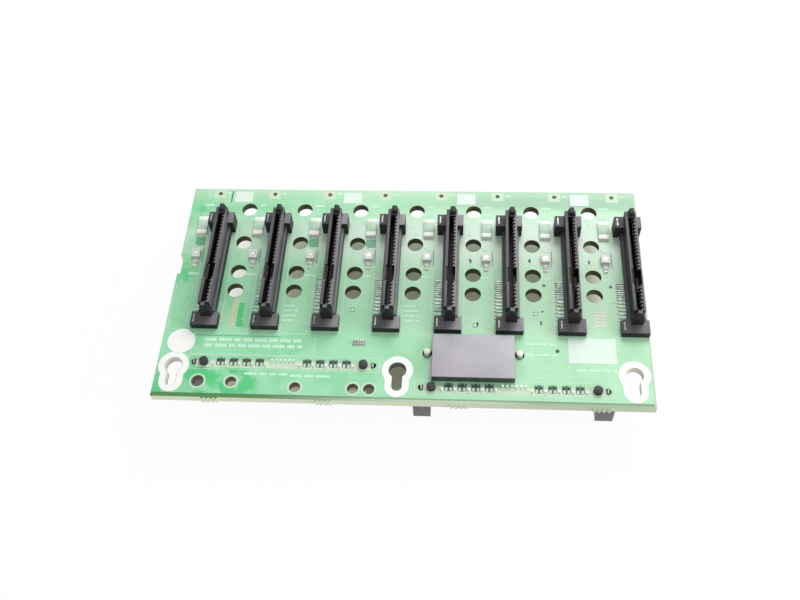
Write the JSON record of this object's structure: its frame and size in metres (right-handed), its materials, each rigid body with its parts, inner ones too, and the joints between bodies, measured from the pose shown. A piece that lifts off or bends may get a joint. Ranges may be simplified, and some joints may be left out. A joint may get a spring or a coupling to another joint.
{
  "type": "drive backplane",
  "caption": "Long flat circuit board with a row of upright slot sockets for hot-plug drives, keyholes to hang it in a chassis, vent holes between the bays and cable sockets behind.",
  "frame": {"origin": "axis of the centre keyhole's head, on the face that carries the drive sockets", "axes": "+X along the row of sockets, +Y from the keyholes towards the sockets, +Z out of the socket face towards the drives"},
  "size_m": [0.1421, 0.0769, 0.0245],
  "materials": {
    "board_mask": "glossy green solder mask over glass laminate",
    "socket_plastic": "satin charcoal moulding",
    "contact_metal": "thin gold-coloured plating with tinned ends",
    "tin_plate": "tin plate, slightly dulled",
    "light_white": "white moulded cup",
    "lens_clear": "water-clear cast lens",
    "fuse_body": "pale grey-green coating",
    "resistor_body": "dark glazed film",
    "cover_grey": "satin grey lid",
    "header_cream": "natural cream moulding",
    "cable_black": "black moulding",
    "chip_black": "fine matte moulding compound",
    "capacitor_body": "ochre moulding compound",
    "paper_white": "uncoated white paper"
  },
  "bodies": {
    "root": {"bay_fuses": "fuse_body", "bay_resistors": "resistor_body", "cable_clips_left": "tin_plate", "cable_clips_right": "tin_plate", "cable_contacts_left": "contact_metal", "cable_contacts_right": "contact_metal", "cable_socket_left": "cable_black", "cable_socket_right": "cable_black", "capacitor_ends": "tin_plate", "circuit_board": "board_mask", "controller_chip": "chip_black", "controller_leads": "tin_plate", "drive_socket_1": "socket_plastic", "drive_socket_2": "socket_plastic", "drive_socket_3": "socket_plastic", "drive_socket_4": "socket_plastic", "drive_socket_5": "socket_plastic", "drive_socket_6": "socket_plastic", "drive_socket_7": "socket_plastic", "drive_socket_8": "socket_plastic", "fuse_ends": "tin_plate", "light_lenses": "lens_clear", "light_terminals": "tin_plate", "paper_dot": "paper_white", "power_header": "header_cream", "power_pins": "tin_plate", "resistor_array": "resistor_body", "resistor_ends": "tin_plate", "socket_clips_1": "tin_plate", "socket_clips_2": "tin_plate", "socket_clips_3": "tin_plate", "socket_clips_4": "tin_plate", "socket_clips_5": "tin_plate", "socket_clips_6": "tin_plate", "socket_clips_7": "tin_plate", "socket_clips_8": "tin_plate", "socket_contacts_1": "contact_metal", "socket_contacts_2": "contact_metal", "socket_contacts_3": "contact_metal", "socket_contacts_4": "contact_metal", "socket_contacts_5": "contact_metal", "socket_contacts_6": "contact_metal", "socket_contacts_7": "contact_metal", "socket_contacts_8": "contact_metal", "status_light_1": "light_white", "status_light_2": "light_white", "status_light_3": "light_white", "status_light_4": "light_white", "status_light_5": "light_white", "status_light_6": "light_white", "status_light_7": "light_white", "status_light_8": "light_white", "supply_capacitors": "capacitor_body", "tail_cover": "cover_grey"}
  },
  "joints": []
}
